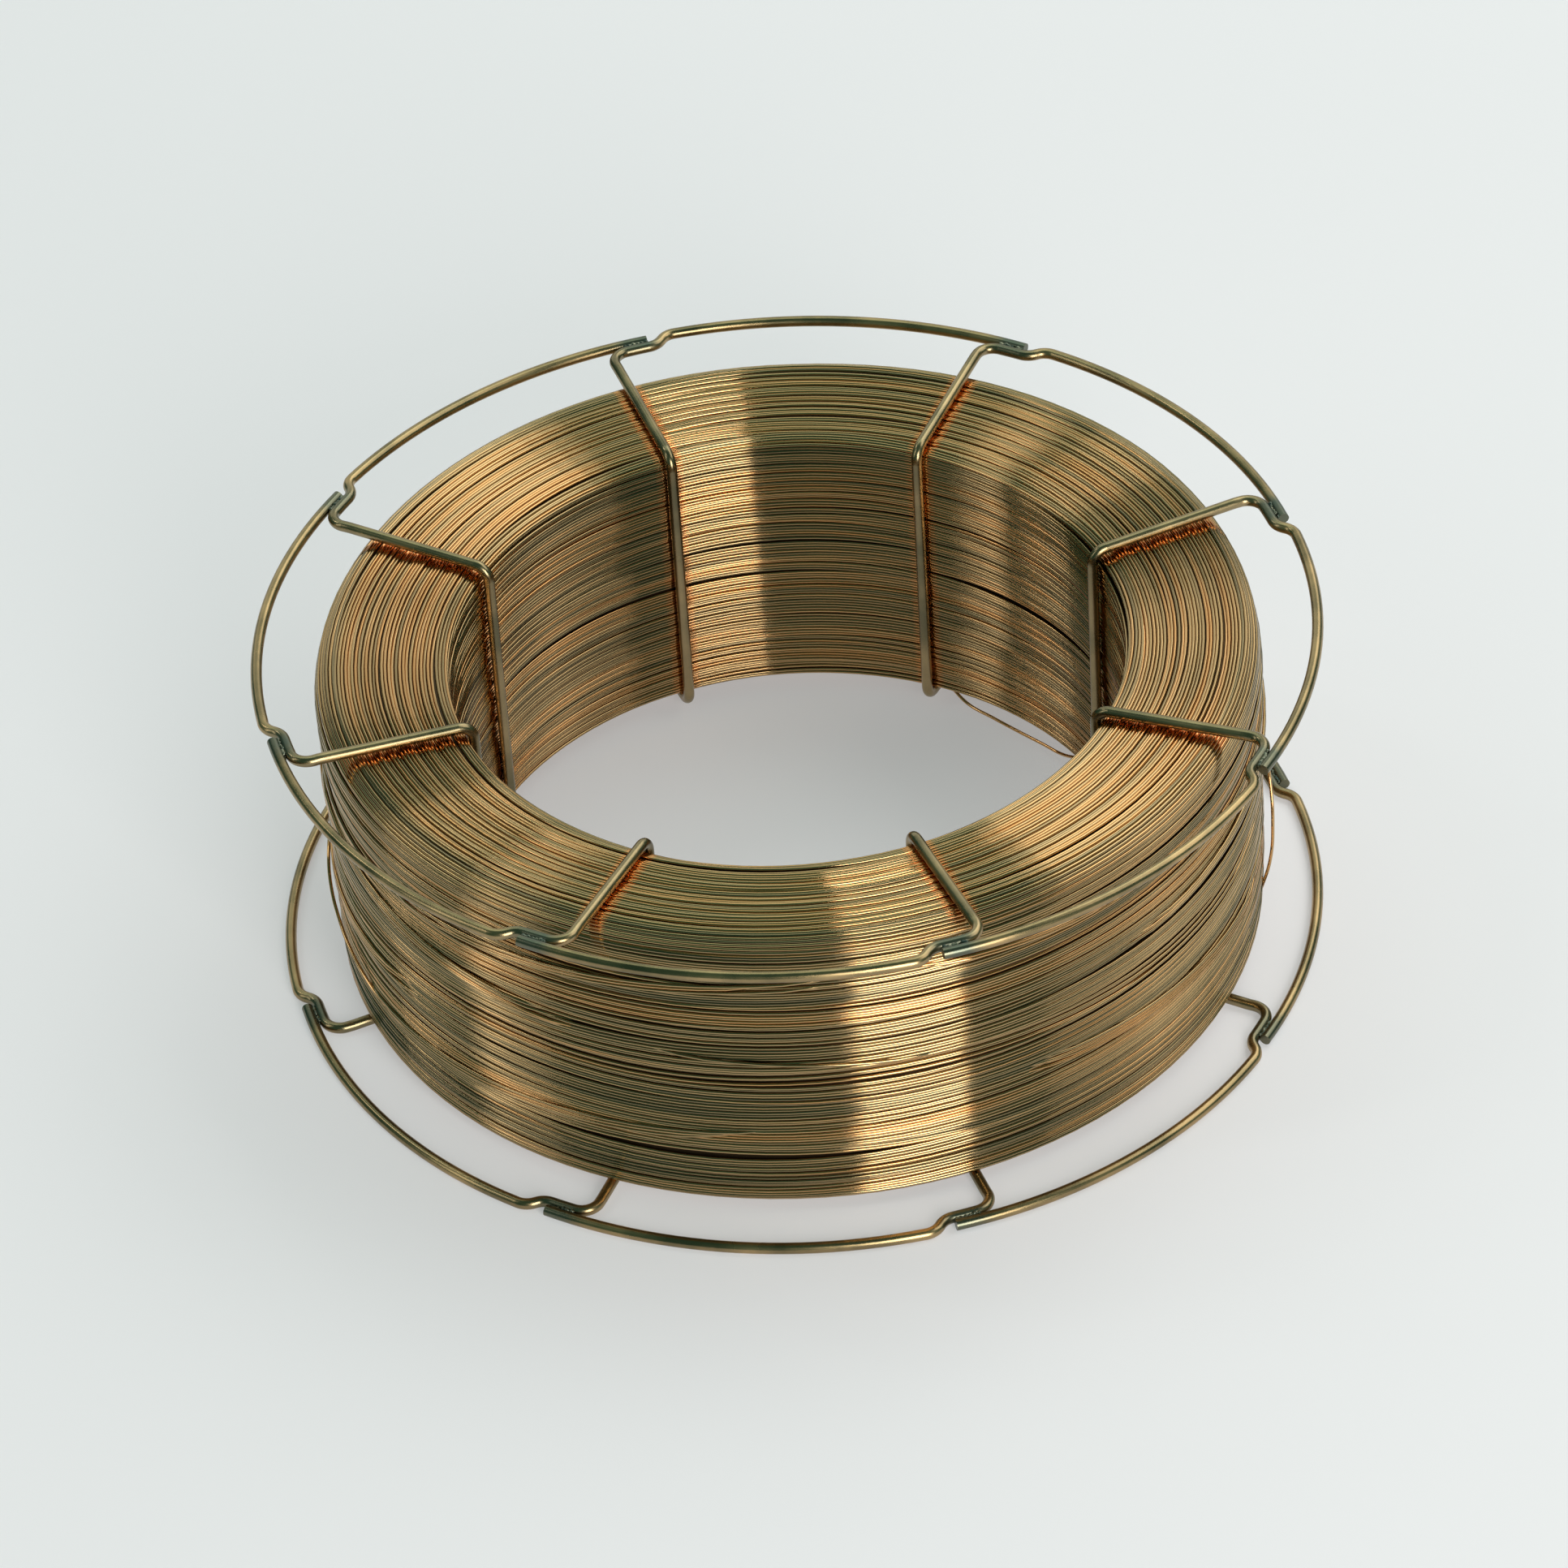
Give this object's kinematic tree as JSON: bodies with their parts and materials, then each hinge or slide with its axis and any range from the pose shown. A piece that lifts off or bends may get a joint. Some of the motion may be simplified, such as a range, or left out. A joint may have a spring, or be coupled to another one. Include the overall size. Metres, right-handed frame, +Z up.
{
  "type": "wire basket spool of welding wire",
  "caption": "Wire basket spool, wound full of copper-coated welding wire, lying on its rim with a clear round bore for a hub adapter.",
  "frame": {"origin": "on the floor, under the middle of the bore", "axes": "+Z up along the spool's axis; +X and +Y across the spool, with the first basket arm 18.7 degrees round from +X"},
  "size_m": [0.2998, 0.2998, 0.1008],
  "materials": {
    "basket_wire": "copper-washed bright drawn steel, dulled to bronze",
    "welding_wire": "copper-coated bright drawn steel wire"
  },
  "bodies": {
    "root": {"basket_rod_1": "basket_wire", "basket_rod_2": "basket_wire", "basket_rod_3": "basket_wire", "basket_rod_4": "basket_wire", "basket_rod_5": "basket_wire", "basket_rod_6": "basket_wire", "basket_rod_7": "basket_wire", "basket_rod_8": "basket_wire", "wire_pack": "welding_wire"}
  },
  "joints": []
}
